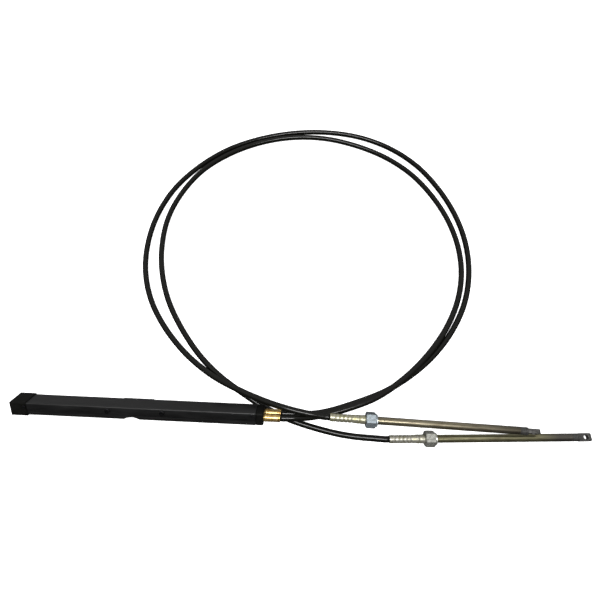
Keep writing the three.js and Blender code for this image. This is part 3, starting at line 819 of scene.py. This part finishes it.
def make_ram(number, finish):
    """A drawn tube with a shallow groove before its tip."""
    radius = RAM_SIZE / 2
    inner = radius - RAM_WALL
    end, groove = RAM_LENGTH, 0.3
    tube = turned(
        f"ram_tube_{number}_drawn",
        [(0, inner), (0, radius - 0.5), (0.5, radius), (end - 6.2, radius), (end - 5.8, radius - groove),
         (end - 4.6, radius - groove), (end - 4.2, radius), (end, radius), (end, inner)],
        True,
        96,
    )
    at = OUTPUT[number] @ Matrix.Translation(((RAM_START + RAM_OUT[number]) * MM, 0, 0))
    finish_piece(tube, at, finish, f"ram_{number}", f"ram_tube_{number}")


def make_tip(number, finish):
    """A plug in the tube, a collar with two grooves, and a flat with rounded corners and a hole."""
    radius = RAM_SIZE / 2
    shank = radius - RAM_WALL - SEAT_GAP
    taper = radius - TIP_THICK / 2
    relief, groove = 0.7, 0.35
    profile = [(-TIP_PLUG, shank), (SEAT_GAP, shank), (SEAT_GAP, radius - relief), (1.5, radius - relief),
               (2.1, radius)]
    for x in (5.2, 9.8):
        profile += [(x, radius), (x + 0.3, radius - groove), (x + 1.1, radius - groove), (x + 1.4, radius)]
    profile += [(TIP_COLLAR, radius), (TIP_COLLAR + taper, TIP_THICK / 2)]
    tip = turned(f"ram_tip_{number}_forged", profile, False, 96)
    end = TIP_COLLAR + TIP_LENGTH

    def is_far_corner(edge):
        one, other = (vert.co for vert in edge.verts)
        return min(one.x, other.x) > end - 1 and abs(one.z - other.z) > 1

    flat = block("flat", (TIP_COLLAR - 1, -radius, -TIP_THICK / 2), (end, radius, TIP_THICK / 2))
    bpy.ops.object.mode_set(mode="EDIT")
    pick(flat, test_edge=is_far_corner)
    bpy.ops.mesh.bevel(offset=TIP_CORNER, segments=8, affect="EDGES")
    bpy.ops.object.mode_set(mode="OBJECT")
    hole_x = end - TIP_HOLE_INSET
    combine(flat, bar("hole", TIP_HOLE, -radius, radius, 2, (hole_x, 0, 0), 64), "DIFFERENCE")
    soften(flat, 0.6, 3)
    combine(tip, flat, "UNION")
    start = RAM_START + RAM_OUT[number] + RAM_LENGTH
    turn = Matrix.Rotation(TIP_TURN[number], 4, "X")
    at = OUTPUT[number] @ Matrix.Translation((start * MM, 0, 0)) @ turn
    finish_piece(tip, at, finish, f"ram_{number}", f"ram_tip_{number}")


# Cables

def curve_through(points):
    """A smooth curve through the chosen points, quick where they lie close together."""
    first = points[0] * 2 - points[1]
    last = points[-1] * 2 - points[-2]
    around = [first, *points, last]
    curve = []
    for index in range(len(points) - 1):
        before, here, there, after = around[index:index + 4]
        gap_before, gap, gap_after = (
            math.sqrt((b - a).length) for a, b in ((before, here), (here, there), (there, after))
        )
        leave = (here - before) / gap_before - (there - before) / (gap_before + gap) + (there - here) / gap
        arrive = (there - here) / gap - (after - here) / (gap + gap_after) + (after - there) / gap_after
        leave, arrive = leave * gap, arrive * gap
        for step in range(CURVE_STEPS):
            t = step / CURVE_STEPS
            curve.append(
                here * (2 * t**3 - 3 * t**2 + 1) + leave * (t**3 - 2 * t**2 + t)
                + there * (3 * t**2 - 2 * t**3) + arrive * (t**3 - t**2)
            )
    return [*curve, points[-1]]


def even_steps(points, step):
    distances = [0.0]
    for a, b in zip(points, points[1:]):
        distances.append(distances[-1] + (b - a).length)
    count = round(distances[-1] / step)
    even = []
    index = 0
    for number in range(count + 1):
        wanted = distances[-1] * number / count
        while index < len(points) - 2 and distances[index + 1] < wanted:
            index += 1
        share = (wanted - distances[index]) / (distances[index + 1] - distances[index])
        even.append(points[index].lerp(points[index + 1], share))
    return even


def stiff_path(points):
    """Even points on the route, relaxed as a stiff cable lies, with straight leads at both ends."""
    path = even_steps(curve_through(points), PATH_STEP)
    held = math.ceil(CABLE_LEAD * MM / PATH_STEP)
    for _ in range(PATH_SMOOTHING):
        path = [
            point if index < held or index >= len(path) - held
            else (path[index - 1] + point * 2 + path[index + 1]) / 4
            for index, point in enumerate(path)
        ]
    for point in path:
        point.z = max(point.z, CABLE_SIZE / 2 * MM)
    return even_steps(path, PATH_STEP)


def make_cable(number, route, leave, arrive, finish):
    """leave and arrive are places whose X runs along the cable where it meets its fitting and hub."""
    start = leave @ Vector(((FITTING_LENGTH + SEAT_GAP) * MM, 0, 0))
    lead_out = leave @ Vector(((FITTING_LENGTH + SEAT_GAP + CABLE_LEAD) * MM, 0, 0))
    lead_in = arrive @ Vector(((-SEAT_GAP - CABLE_LEAD) * MM, 0, 0))
    end = arrive @ Vector((-SEAT_GAP * MM, 0, 0))
    path = stiff_path([start, lead_out, *(Vector(point) for point in route), lead_in, end])
    mesh = bmesh.new()
    along = mesh.loops.layers.uv.new("along")
    side = UP.cross(path[1] - path[0]).normalized()
    rings = []
    travelled = [0.0]
    for index, point in enumerate(path):
        ahead = path[min(index + 1, len(path) - 1)] - path[max(index - 1, 0)]
        forward = ahead.normalized()
        side = (side - forward * side.dot(forward)).normalized()
        top = forward.cross(side)
        ring = []
        for corner in range(CABLE_SIDES):
            angle = 2 * math.pi * corner / CABLE_SIDES
            out = side * math.cos(angle) + top * math.sin(angle)
            ring.append(mesh.verts.new(point + out * CABLE_SIZE / 2 * MM))
        rings.append(ring)
        if index:
            travelled.append(travelled[-1] + (point - path[index - 1]).length)
    for index in range(len(path) - 1):
        for corner in range(CABLE_SIDES):
            following = (corner + 1) % CABLE_SIDES
            face = mesh.faces.new((
                rings[index][corner], rings[index][following],
                rings[index + 1][following], rings[index + 1][corner],
            ))
            face.smooth = True
            for loop, (turn, distance) in zip(face.loops, (
                (corner, travelled[index]), (corner + 1, travelled[index]),
                (corner + 1, travelled[index + 1]), (corner, travelled[index + 1]),
            )):
                loop[along].uv = (turn / CABLE_SIDES, distance)
    mesh.faces.new(reversed(rings[0]))
    mesh.faces.new(rings[-1])
    bmesh.ops.recalc_face_normals(mesh, faces=mesh.faces)
    data = bpy.data.meshes.new(f"cable_{number}_jacket")
    mesh.to_mesh(data)
    mesh.free()
    cable = bpy.data.objects.new(f"cable_{number}_jacket", data)
    bpy.context.scene.collection.objects.link(cable)
    data.materials.append(finish)
    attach(cable, ROOT)
    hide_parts(f"cable_{number}")


# Studio, in metres

FLOOR_SIZE = 14
BACKDROP_RADIUS = 40
SOFTBOX_PLACE = (-0.1, -0.4, 2.2)
SOFTBOX_AIM = (0.0, 0.15, 0.0)
SOFTBOX_WIDTH = 1.5
SOFTBOX_DEPTH = 0.5
SOFTBOX_POWER = 58
ROOM_LIGHT_SIDE = Vector((0, 0.55, 0.83))


def set_glow(piece, name, shade, glow):
    """A matt finish of the given grey that gives off white light as well."""
    finish, _, shader = new_finish(name, 0.0, 0.0)
    shader.inputs["Base Color"].default_value = (shade, shade, shade, 1)
    shader.inputs["Roughness"].default_value = 0.9
    shader.inputs["Emission Color"].default_value = (1, 1, 1, 1)
    shader.inputs["Emission Strength"].default_value = glow
    piece.data.materials.append(finish)
    piece.visible_glossy = False


def make_floor():
    start_fresh()
    bpy.ops.mesh.primitive_plane_add(size=FLOOR_SIZE, location=(0, 0.4, 0))
    floor = bpy.context.object
    floor.name = "floor"
    set_glow(floor, "pale_floor", 0.9, 0.75)


def make_backdrop():
    """A far white shell that only the camera sees, so every view has a plain pale background."""
    start_fresh()
    bpy.ops.mesh.primitive_uv_sphere_add(segments=48, ring_count=24, radius=BACKDROP_RADIUS)
    backdrop = bpy.context.object
    backdrop.name = "backdrop"
    set_glow(backdrop, "pale_backdrop", 0.0, 1.0)
    backdrop.visible_diffuse = False
    backdrop.visible_shadow = False


def make_softbox():
    data = bpy.data.lights.new("softbox", "AREA")
    data.shape = "RECTANGLE"
    data.size = SOFTBOX_WIDTH
    data.size_y = SOFTBOX_DEPTH
    data.energy = SOFTBOX_POWER
    light = bpy.data.objects.new("softbox", data)
    light.location = SOFTBOX_PLACE
    towards = Vector(SOFTBOX_AIM) - Vector(SOFTBOX_PLACE)
    light.rotation_euler = towards.to_track_quat("-Z", "Y").to_euler()
    bpy.context.scene.collection.objects.link(light)


def make_room():
    """A world that is light behind the table and dark before it."""
    world = bpy.data.worlds.new("studio")
    bpy.context.scene.world = world
    world.use_nodes = True
    tree = world.node_tree
    background = tree.nodes["Background"]
    background.inputs["Color"].default_value = (1, 1, 1, 1)
    direction = add_node(tree, "ShaderNodeTexCoord")
    towards_light = add_node(tree, "ShaderNodeVectorMath", {"operation": "DOT_PRODUCT"})
    tree.links.new(direction.outputs["Generated"], towards_light.inputs[0])
    towards_light.inputs[1].default_value = ROOM_LIGHT_SIDE
    glow = span(tree, towards_light.outputs["Value"], 0.03, 0.62, -0.25, 0.9)
    tree.links.new(glow, background.inputs["Strength"])


make_camera()

jacket = cable_jacket()
for cable_number, cable_route in ((1, CABLE_ONE_ROUTE), (2, CABLE_TWO_ROUTE)):
    make_cable(cable_number, cable_route, fitting_place(cable_number), OUTPUT[cable_number], jacket)

make_housing(housing_paint())
cap_finish = cap_plastic()
make_left_cap(cap_finish)
make_right_cap(cap_finish)
make_screws_and_pins(dark_steel())
make_fittings(brass())
steel = bar_steel()
for bar_number in (1, 2):
    bar_node = frame["nodes"][f"rack_bar_{bar_number}"]
    bar_node.data.materials.clear()
    bar_node.data.materials.append(steel)

# The two ends are worn differently. A hub has a plain and a warm plating tone and a painted shade for its dark
# rings; a nut has a painted lit tone and a painted shade tone
hub_colours = {
    1: (colour(170, 168, 150), colour(146, 143, 108), colour(104, 99, 74)),
    2: (colour(176, 174, 164), colour(150, 147, 124), colour(108, 102, 92)),
}
nut_colours = {
    1: (colour(172, 184, 192), colour(122, 127, 128)),
    2: (colour(186, 186, 178), colour(122, 122, 116)),
}
# A ram's first two tones are a painted lit tone and a painted shade tone, its third the tone it darkens to; its
# last two numbers say where along its output end it starts to darken and is fully dark
ram_colours = {
    1: (colour(168, 160, 138), colour(104, 96, 76), colour(92, 87, 75), 250, 380),
    2: (colour(162, 158, 126), colour(104, 100, 74), colour(98, 94, 88), 300, 345),
}
for output_number in (1, 2):
    make_hub(output_number, hub_zinc(output_number, *hub_colours[output_number]))
    make_nut(output_number, nut_plate(output_number, *nut_colours[output_number]))
    make_guide(output_number, steel)
    make_ram(output_number, ram_stainless(output_number, *ram_colours[output_number]))
    make_tip(output_number, tip_steel(output_number))

make_floor()
make_backdrop()
make_softbox()
make_room()
bpy.context.scene.view_settings.view_transform = "Standard"
bpy.context.view_layer.update()
